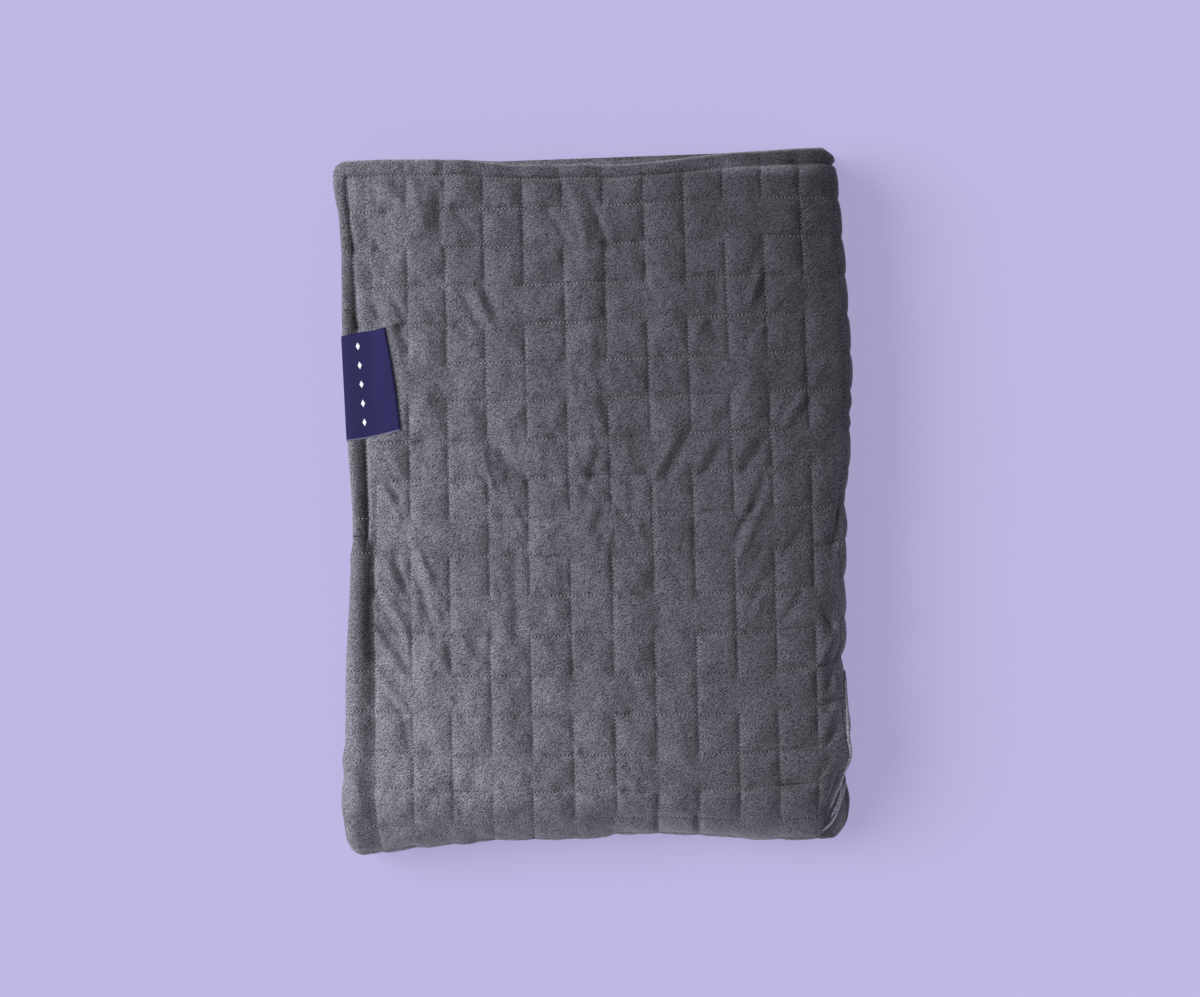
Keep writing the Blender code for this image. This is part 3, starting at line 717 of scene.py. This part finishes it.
# The painted shade in the seams, and the painted light and shade on the pile, both read from the cloth's
# points.
seam = new_node(tree, "ShaderNodeAttribute", attribute_name="painted_seam_shade")
pile = new_node(tree, "ShaderNodeAttribute", attribute_name="tone_and_painted_light")
color = product_of(
    tree,
    ramp_of(tree, grain, ((0.15, 0.036, 0.035, 0.050), (0.85, 0.225, 0.220, 0.260))),
    pile.outputs["Fac"],
    ramp_of(tree, patches.outputs["Fac"], ((0.30, 0.81), (0.70, 1.13))),
    ramp_of(tree, nap_and_falloff_share, nap_and_falloff_colors),
    ramp_of(tree, seam.outputs["Fac"], ((0.25, 1.0), (1.0, 0.66, 0.66, 0.68))),
)
ruffle = bump_of(tree, wrinkles.outputs["Fac"], 1.0, 0.0016)
shader = tree.nodes["Principled BSDF"]
tree.links.new(color, shader.inputs["Base Color"])
tree.links.new(bump_of(tree, grain, 0.65, 0.0006, {"Normal": ruffle}), shader.inputs["Normal"])
cloth.materials.append(plush)

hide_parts("blanket")
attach(blanket, "root")

# ---------------------------------------------------------------------------------------------------
# The rims at the front right corner: the sharp folded edges of the layers, thin tubes one inside the other,
# painted far lighter as painted sheen where the pile catches the light. They are part of the plush cloth,
# drawn over its soft folds.

RIMS = (
    # (x, y) in millimetres along each rim, from the back
    ((222, -150), (224.5, -178), (226.5, -200), (225.5, -222), (220.5, -245), (214, -261), (207.5, -272)),
    ((223.5, -246), (219.5, -264), (214.5, -278), (207, -289), (201, -292)),
    ((220.5, -250), (218, -262), (214, -272), (210, -281)),
)
RIM_TUBE, RIM_SINK, RIM_SPACING = 0.0017, 0.0007, 0.0020
# How light a rim's flank is painted, as a share of its top: painted shade on the flanks, with the painted
# sheen strongest on the tops.
RIM_FLANK_SHADE = 0.30
# The camera's place, and the level at which the photo was measured.
CAMERA_PLACE = (0.0071, 0.0022, 4.0)
TOP_LEVEL = 0.088
RIM_SHEEN = (
    # (y, how light the painted sheen makes the pile)
    (-270, 8.5), (-235, 7), (-200, 4.5),
)


def rim_paths():
    """Each rim line laid down on the cloth, as seen from above."""
    ground = BVHTree.FromPolygons([tuple(p) for p in corners], faces)
    paths = []
    for rim in RIMS:
        line = np.array(rim, float) / 1000
        lengths = np.concatenate([[0], np.cumsum(np.hypot(*np.diff(line, axis=0).T))])
        along = np.arange(0, lengths[-1], RIM_SPACING)
        spots = zip(np.interp(along, lengths, line[:, 0]), np.interp(along, lengths, line[:, 1]))
        seen = Vector(CAMERA_PLACE)
        rays = [(Vector((x, y, TOP_LEVEL)) - seen).normalized() for x, y in spots]
        hits = [ground.ray_cast(seen, ray)[0] for ray in rays]
        path = np.array([hit for hit in hits if hit is not None])
        along = np.linspace(0, 1, len(path))
        path[:, 2] = np.polyval(np.polyfit(along, path[:, 2], 3), along)
        nearest = [ground.find_nearest(Vector(p)) for p in path]
        path = np.array([place - normal * RIM_SINK for place, normal, _, _ in nearest])
        for _ in range(8):
            path[1:-1] = (path[:-2] + 2 * path[1:-1] + path[2:]) / 4
        paths.append([Vector(p) for p in path])
    return paths


def tube_mesh(name, paths, radius):
    """Closed thin tubes along the paths, with pointed ends."""
    corners, faces = [], []
    for path in paths:
        first = len(corners)
        for number, here in enumerate(path):
            ahead = (path[min(number + 1, len(path) - 1)] - path[max(number - 1, 0)]).normalized()
            side = ahead.cross(Vector((0, 0, 1))).normalized()
            up = side.cross(ahead)
            taper = radius * min(1.0, 0.25 + 0.25 * min(number, len(path) - 1 - number))
            angles = [math.pi / 3 * k for k in range(6)]
            corners += [here + taper * (math.cos(a) * side + math.sin(a) * up) for a in angles]
        for start in range(first, len(corners) - 6, 6):
            sides = [(start + k, start + (k + 1) % 6) for k in range(6)]
            faces += [(a, b, b + 6, a + 6) for a, b in sides]
        faces += [tuple(range(first + 5, first - 1, -1)), tuple(range(len(corners) - 6, len(corners)))]
    return closed_mesh(name, corners, faces)


corner_rims = add_object("corner_rims", tube_mesh("corner_rims", rim_paths(), RIM_TUBE))
# Painted sheen on the rims, lighter on their tops than on their flanks.
rim_y = np.array([v.co.y for v in corner_rims.data.vertices])
upward = np.clip([v.normal.z for v in corner_rims.data.vertices], 0, 1)
rim_sheen = line_at(RIM_SHEEN, rim_y) * 1000 * (RIM_FLANK_SHADE + (1 - RIM_FLANK_SHADE) * upward)
keep_values(corner_rims.data, "tone_and_painted_light", rim_sheen)
corner_rims.data.materials.append(plush)
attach(corner_rims, "root")

# ---------------------------------------------------------------------------------------------------
# The quilting stitches: a machine lockstitch through all the layers of the cloth, in polyester thread a
# little lighter than the plush. The rows run along the sewn sides only and are drawn down into the pile, with
# dark beads between the stitches as painted shade in the needle holes.

STITCH_SPACING = 0.0034
STITCHES = {"Start": 0.0, "Spacing": STITCH_SPACING, "Length": 0.0021, "Thickness": 0.0012}
HALF_STEP = STITCH_SPACING / 2
# Dark beads set between the stitches: painted shade in the needle holes.
NEEDLE_HOLE_SHADOWS = {"Start": HALF_STEP, "Spacing": STITCH_SPACING, "Length": 0.0014, "Thickness": 0.0013}
# The thread is painted lighter on the left and darker to the right across the stack: a painted light falloff,
# as on the cloth.
THREAD_FALLOFF_FROM, THREAD_FALLOFF_TO = -0.22, 0.22
THREAD_COLORS_WITH_FALLOFF = ((0.0, 0.36, 0.36, 0.39), (0.55, 0.29, 0.29, 0.32), (1.0, 0.14, 0.14, 0.155))
SEAM_THREAD_SINK = 0.0002
# The rows of stitches end where the front fold turns under.
LAST_SEWN_ANGLE = 2.9


def unbroken(points, sewn):
    """Splits a line of points into the runs that are sewn, each up to the point where it stops."""
    runs, run = [], []
    for point, on in zip(points, sewn):
        if on:
            run.append(point)
        elif len(run) > 1:
            runs.append(run + [point])
            run = []
    return runs + [run] * (len(run) > 1)


def sewn_runs():
    """Lines of points along the seams of the outer face, each as long as the sewing runs on."""
    seams = np.array([s[5] for s in left[:outer_count]])
    last_row = int(np.flatnonzero(np.array([r[1] for r in rows]) < LAST_SEWN_ANGLE).max())
    crosses = np.array([r[3] for r in rows[: last_row + 1]])
    squares_across, squares_down = np.floor(seams + 1e-6), np.floor(crosses + 1e-6)
    open_cloth = under_label < LABEL_COVERS
    runs, sunk = [], outer - np.array((0, 0, SEAM_THREAD_SINK))
    for seam in range(int(seams.max()) + 1):
        column = int(np.argmin(np.abs(seams - seam)))
        sewn = is_sewn(seam + 0 * squares_down, squares_down, False) & (crosses > 0.35)
        runs += unbroken(sunk[:last_row, column], sewn[:last_row] & open_cloth[:last_row, column])
    for cross in range(1, int(crosses[last_row]) + 1):
        row = int(np.argmin(np.abs(crosses - cross)))
        sewn = is_sewn(squares_across, cross + 0 * squares_across, True)
        runs += unbroken(outer[row], sewn & open_cloth[row])
    return runs


def line_mesh(name, runs):
    mesh = bpy.data.meshes.new(name)
    corners, edges = [], []
    for run in runs:
        edges += [(len(corners) + k, len(corners) + k + 1) for k in range(len(run) - 1)]
        corners += [tuple(point) for point in run]
    mesh.from_pydata(corners, edges, [])
    return mesh


def stitch_tree():
    """Sews along the edges of a mesh: a short thread at each step of the way, turned along it."""
    tree = bpy.data.node_groups.new("stitches_along_edges", "GeometryNodeTree")
    face = tree.interface
    face.new_socket("Lines", in_out="INPUT", socket_type="NodeSocketGeometry")
    for name in ("Start", "Spacing", "Length", "Thickness"):
        face.new_socket(name, in_out="INPUT", socket_type="NodeSocketFloat")
    face.new_socket("Thread", in_out="INPUT", socket_type="NodeSocketMaterial")
    face.new_socket("Stitches", in_out="OUTPUT", socket_type="NodeSocketGeometry")
    given = new_node(tree, "NodeGroupInput").outputs
    curve = new_node(tree, "GeometryNodeMeshToCurve", {"Mesh": given["Lines"]}).outputs["Curve"]
    # By length, a curve is trimmed with the inputs 4, its start, and 5, its end.
    fed = {"Curve": curve, 4: given["Start"]}
    trim = new_node(tree, "GeometryNodeTrimCurve", fed, {5: 1000.0}, mode="LENGTH").outputs["Curve"]
    fed = {"Curve": trim, "Length": given["Spacing"]}
    steps = new_node(tree, "GeometryNodeCurveToPoints", fed, mode="LENGTH").outputs
    turn = new_node(tree, "FunctionNodeAlignRotationToVector", {"Vector": steps["Tangent"]}, axis="Z")
    bead = new_node(tree, "GeometryNodeMeshUVSphere", values={"Segments": 6, "Rings": 3, "Radius": 0.5})
    fed = {"X": given["Thickness"], "Y": given["Thickness"], "Z": given["Length"]}
    size = new_node(tree, "ShaderNodeCombineXYZ", fed).outputs["Vector"]
    fed = {"Points": steps["Points"], "Rotation": turn.outputs["Rotation"], "Scale": size}
    fed["Instance"] = bead.outputs["Mesh"]
    placed = new_node(tree, "GeometryNodeInstanceOnPoints", fed).outputs["Instances"]
    real = new_node(tree, "GeometryNodeRealizeInstances", {"Geometry": placed}).outputs["Geometry"]
    smooth = new_node(tree, "GeometryNodeSetShadeSmooth", {"Geometry": real}).outputs["Geometry"]
    fed = {"Geometry": smooth, "Material": given["Thread"]}
    painted = new_node(tree, "GeometryNodeSetMaterial", fed).outputs["Geometry"]
    new_node(tree, "NodeGroupOutput", {"Stitches": painted})
    return tree


stitches_along_edges = stitch_tree()


def sew(name, runs, thread, sizes):
    """Runs the stitch tree over the lines and keeps its mesh, with no modifier left on."""
    lines = add_object(name + "_lines", line_mesh(name + "_lines", runs))
    nodes = lines.modifiers.new("Stitches", "NODES")
    nodes.node_group = stitches_along_edges
    values = {**sizes, "Thread": thread}
    for item in stitches_along_edges.interface.items_tree:
        if item.in_out == "INPUT" and item.name in values:
            nodes[item.identifier] = values[item.name]
    bpy.context.view_layer.update()
    evaluated = lines.evaluated_get(bpy.context.evaluated_depsgraph_get())
    mesh = bpy.data.meshes.new_from_object(evaluated)
    mesh.name = name
    bpy.data.objects.remove(lines)
    return add_object(name, mesh)


thread = new_material("quilting_thread", Roughness=0.6)
tree = thread.node_tree
# Painted light falloff on the thread: lighter on the left, darker to the right.
spot = new_node(tree, "ShaderNodeSeparateXYZ", {"Vector": object_place(tree)})
thread_falloff_share = share_between(tree, spot.outputs["X"], THREAD_FALLOFF_FROM, THREAD_FALLOFF_TO)
thread_color = ramp_of(tree, thread_falloff_share, THREAD_COLORS_WITH_FALLOFF)
tree.links.new(thread_color, tree.nodes["Principled BSDF"].inputs["Base Color"])
# Near-black: painted shade in the needle holes.
hole_shade = new_material(
    "needle_hole_shade", Base_Color=(0.010, 0.010, 0.014, 1), Roughness=0.95, Specular_IOR_Level=0.0
)
seams = sewn_runs()
quilting = sew("quilting_stitches", seams, thread, STITCHES)
hole_shadows = sew("needle_hole_shadows", seams, hole_shade, NEEDLE_HOLE_SHADOWS)
for piece in (quilting, hole_shadows):
    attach(piece, "root")

# ---------------------------------------------------------------------------------------------------
# The topstitching: one row of lockstitch that holds the turned hem down along the back and the left
# side, with a short bar tack where the left hem starts to roll under.

TACK_LINE = ((-0.2112, -0.0310), (-0.1975, -0.0318))
TACK_STEPS = 8
TACK_LIFT = 0.0002
TACK_STITCHES = {"Start": 0.0, "Spacing": 0.0008, "Length": 0.0011, "Thickness": 0.0014}


def hem_runs():
    """The topstitching's lines: the left side on either side of the label, then the back.

    The back's line ends six stations before the widest point of the fold at the right.
    """
    band = HEM_STEPS.index(HEM_BAND)
    widest = int(np.argmax([s[0] for s in left[:outer_count]]))
    flat = [row for row in range(band, len(rows)) if rows[row][1] == 0]
    side = [row for row in flat if outer[row, band, 1] > TACK_LINE[0][1]]
    open_side = [row for row in side if under_label[row, band] < LABEL_COVERS]
    gap = next(k for k in range(1, len(open_side)) if open_side[k] - open_side[k - 1] > 1)
    stitched = outer[open_side, band]
    return [stitched[:gap], stitched[gap:], outer[band, band : widest - 6]]


# Dark beads between these stitches too: painted shade in the needle holes.
hems = hem_runs()
topstitch = sew("topstitching", hems, thread, STITCHES)
hem_hole_shadows = sew("hem_needle_hole_shadows", hems, hole_shade, NEEDLE_HOLE_SHADOWS)
for piece in (topstitch, hem_hole_shadows):
    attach(piece, "root")


def nearest_on_cloth(x, y):
    """The point of the top face nearest to x, y as seen from above."""
    top = outer[on_top[:, 0]]
    away = (top[:, :, 0] - x) ** 2 + (top[:, :, 1] - y) ** 2
    return top.reshape(-1, 3)[int(np.argmin(away))]


dark_thread = new_material("tack_thread", Base_Color=(0.035, 0.034, 0.045, 1), Roughness=0.7)
(x0, y0), (x1, y1) = TACK_LINE
tack_points = []
for step in range(TACK_STEPS + 1):
    x, y = x0 + (x1 - x0) * step / TACK_STEPS, y0 + (y1 - y0) * step / TACK_STEPS
    tack_points.append((x, y, float(nearest_on_cloth(x, y)[2]) + TACK_LIFT))
tack = sew("bar_tack", [tack_points], dark_thread, TACK_STITCHES)
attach(tack, "root")

# ---------------------------------------------------------------------------------------------------
# The label: a folded piece of navy woven tape, wrapped round the left hem and sewn down with it. A row
# of plain white lozenges is woven in along its middle.

LABEL_THICKNESS = 0.0008
# How far its free end bows in, how far its middle bows up, and how far its free end lifts.
LABEL_END_BOW, LABEL_BOW, LABEL_LIFT = 0.0012, 0.0005, 0.0007
LABEL_CORNERS = (
    # (x, y) of the front and the back end, in metres: at the hem's edge, then inside it
    (-0.2180, 0.0527), (-0.2233, 0.1457), (-0.1690, 0.0620), (-0.1833, 0.1533),
)
LABEL_ROUND_HEM = (
    # (x, height over the middle of the layer), in millimetres
    (11, -6.3), (6, -6.3), (2, -5.7), (-0.6, -3.6), (-1.2, 0), (-0.6, 4), (1.2, 6.3), (4, 7.2), (7, 7.4),
)
# The share of the way that goes round the hem.
NOSE_SHARE = 0.36


def square_stack_point(x, y):
    """The point of the square stack that lies at x, y on the real one, found by correcting a guess."""
    here = np.array((x + STACK_WIDTH / 2, y + STACK_DEPTH / 2))
    for _ in range(30):
        now = lie(*here, STACK_HEIGHT, 0.0)
        here = here + (x - now[0], y - now[1])
    return here


label_ends = [square_stack_point(x, y) for x, y in LABEL_CORNERS]


def label_surface(u, v):
    """Points of the label's middle: u is the share along the way round the hem, v from front to back."""
    path = np.array(LABEL_ROUND_HEM).T / 1000
    nose, flat = np.clip(u / NOSE_SHARE, 0, 1), np.clip((u - NOSE_SHARE) / (1 - NOSE_SHARE), 0, 1)
    along_nose = np.linspace(0, 1, path.shape[1])
    near_x = np.interp(nose, along_nose, path[0])
    height = np.interp(nose, along_nose, path[1])
    (_, y0), (_, y1), (reach0, y2), (reach1, y3) = label_ends
    reach = reach0 + (reach1 - reach0) * v + LABEL_END_BOW * np.sin(math.pi * v)
    x = np.where(u <= NOSE_SHARE, near_x, path[0][-1] + (reach - path[0][-1]) * flat)
    start, end = y0 + (y1 - y0) * v, y2 + (y3 - y2) * v
    y = start + (end - start) * np.clip(x / reach, 0, 1)
    bow = LABEL_BOW * np.sin(math.pi * flat) * np.sin(math.pi * v) + LABEL_LIFT * flat**5
    z = STACK_HEIGHT / 2 + FRONT_FOLD + OUTER_FOLD + height + bow
    return np.stack(lie(x, y, z, 0.0), axis=-1)


def slab(name, middle, thickness):
    """A closed mesh of this thickness round a grid of points, with sharp edges."""
    out = facing_out(middle) * (thickness / 2)
    rows_here, columns_here = middle.shape[:2]
    count = rows_here * columns_here
    corners = np.concatenate([(middle + out).reshape(-1, 3), (middle - out).reshape(-1, 3)])
    faces = []
    for start in range(0, count - columns_here, columns_here):
        for a in range(start, start + columns_here - 1):
            quad = (a, a + 1, a + columns_here + 1, a + columns_here)
            faces += [quad, tuple(count + k for k in quad[::-1])]
    front, right = range(columns_here - 1), range(columns_here - 1, count - 1, columns_here)
    back = range(count - 1, count - columns_here, -1)
    left_side = range(count - columns_here, 0, -columns_here)
    rim = [*front, *right, *back, *left_side]
    faces += [(b, a, count + a, count + b) for a, b in zip(rim, rim[1:] + rim[:1])]
    return closed_mesh(name, corners, faces, lambda face: len({v.index < count for v in face.verts}) == 1)


path_shares = [*np.linspace(0, NOSE_SHARE, 19), *np.linspace(NOSE_SHARE, 1, 21)[1:]]
u, v = np.meshgrid(path_shares, np.linspace(0, 1, 31))
label = add_object("label_tape", slab("label_tape", label_surface(u, v), LABEL_THICKNESS))
tape_shares = np.tile(np.stack([u, v, 0 * u], axis=-1).reshape(-1, 3), (2, 1)).astype(np.float32)
kept_shares = label.data.attributes.new("tape_share", "FLOAT_VECTOR", "POINT")
kept_shares.data.foreach_set("vector", tape_shares.ravel())

woven = new_material("woven_tape", Roughness=0.6, Specular_IOR_Level=0.12)
tree = woven.node_tree
share = new_node(tree, "ShaderNodeAttribute", attribute_name="tape_share")
parts = new_node(tree, "ShaderNodeSeparateXYZ", {"Vector": share.outputs["Vector"]})
weave = new_node(
    tree,
    "ShaderNodeTexWave",
    {"Vector": object_place(tree)},
    {"Scale": 420, "Distortion": 0.6},
    wave_type="BANDS",
    bands_direction="DIAGONAL",
)
cut_edge = ((0.0, 0.24, 0.24, 0.34), (0.012, 0.16, 0.16, 0.26), (0.020, 0.0165, 0.0145, 0.078))
# Painted sheen: the tape is painted lighter over its flat part towards its inner end.
painted_sheen_on_tape = ((0.45, 0.88, 0.88, 0.90), (0.80, 1.25, 1.25, 1.22), (1.0, 1.05))
color = product_of(
    tree,
    ramp_of(tree, parts.outputs["Y"], cut_edge),
    ramp_of(tree, parts.outputs["X"], painted_sheen_on_tape),
    ramp_of(tree, weave.outputs["Color"], ((0.0, 0.85), (1.0, 1.12))),
)
shader = tree.nodes["Principled BSDF"]
tree.links.new(color, shader.inputs["Base Color"])
tree.links.new(bump_of(tree, weave.outputs["Color"], 0.35, 0.0003), shader.inputs["Normal"])
label.data.materials.append(woven)
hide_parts("label")
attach(label, "root")

MARKS = 5
MARK_LINE = ((0.47, 0.155), (0.50, 0.875))
MARK_HALF_LONG, MARK_HALF_WIDE = 0.0036, 0.0020
MARK_RISE, MARK_SINK = 0.00025, 0.0001
MARK_TOP_SHARE = 0.86


def lozenge_marks():
    """Flat lozenges along the label's middle line, each with sloping sides and a base sunk in the tape."""
    corners, faces = [], []
    for place in np.linspace(*MARK_LINE, MARKS):
        here, beside, behind = (label_surface(*(place + step)) for step in ((0, 0), (0.02, 0), (0, 0.02)))
        wide, long = (way / np.linalg.norm(way) for way in (beside - here, behind - here))
        up = np.cross(wide, long)
        base = here + up * (LABEL_THICKNESS / 2 - MARK_SINK)
        ring = [long * MARK_HALF_LONG, wide * MARK_HALF_WIDE, -long * MARK_HALF_LONG, -wide * MARK_HALF_WIDE]
        start = len(corners)
        corners += [base + r for r in ring] + [base + MARK_TOP_SHARE * r + up * MARK_RISE for r in ring]
        corners += [base + up * (MARK_RISE + MARK_SINK), base]
        for k in range(4):
            n = (k + 1) % 4
            faces += [(start + k, start + n, start + 4 + n, start + 4 + k)]
            faces += [(start + 4 + k, start + 4 + n, start + 8), (start + n, start + k, start + 9)]
    return closed_mesh("label_marks", corners, faces, lambda face: False)


marks = add_object("label_marks", lozenge_marks())
marks.data.materials.append(new_material("white_yarn", Base_Color=(0.78, 0.78, 0.84, 1), Roughness=0.6))
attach(marks, "root")

# ---------------------------------------------------------------------------------------------------
# The floor: a plain pale surface under the stack, which is not part of the blanket. It glows a little, so
# that it looks even and takes only a soft shadow.

FLOOR_SIZE, FLOOR_LEVEL = 8, -0.0002
bpy.ops.mesh.primitive_plane_add(size=FLOOR_SIZE, location=(0, 0, FLOOR_LEVEL))
floor = bpy.context.object
floor.name = "floor"
floor_paint = new_material(
    "floor_paint",
    Base_Color=(0.165, 0.152, 0.247, 1),
    Roughness=0.95,
    Emission_Color=(0.345, 0.317, 0.512, 1),
    Emission_Strength=1.0,
    Specular_IOR_Level=0.0,
)
floor.data.materials.append(floor_paint)

# ---------------------------------------------------------------------------------------------------
# Light and camera: a soft light from the left, and a long lens straight above, as in the photograph. Two
# low lamps besides catch the pile along the right and the front edge.

LAMPS = (
    # (name, strength, spread in degrees, turn round X, Y and Z in degrees)
    ("key_light", 3.9, 42, (0, -49, -12)),
    ("right_fill", 0.25, 40, (0, 80.214, 0)),
    ("front_fill", 0.3, 40, (80.214, 0, 0)),
)
SENSOR_WIDTH = 36
PHOTO_PIXELS, PIXEL_SIZE = 1200, 0.000884
PHOTO_WIDTH = PHOTO_PIXELS * PIXEL_SIZE

world = bpy.data.worlds.new("studio")
bpy.context.scene.world = world
world.use_nodes = True
world.node_tree.nodes["Background"].inputs["Color"].default_value = (1, 1, 1, 1)
world.node_tree.nodes["Background"].inputs["Strength"].default_value = 0.24
for name, strength, spread, turn in LAMPS:
    lamp = bpy.data.lights.new(name, "SUN")
    lamp.energy, lamp.angle = strength, math.radians(spread)
    add_object(name, lamp).rotation_euler = [math.radians(part) for part in turn]
bpy.context.scene.view_settings.view_transform = "Standard"

data = bpy.data.cameras.new("camera")
data.sensor_width = SENSOR_WIDTH
data.lens = SENSOR_WIDTH * (CAMERA_PLACE[2] - TOP_LEVEL) / PHOTO_WIDTH
camera = add_object("camera", data)
camera.location = CAMERA_PLACE
bpy.context.scene.camera = camera
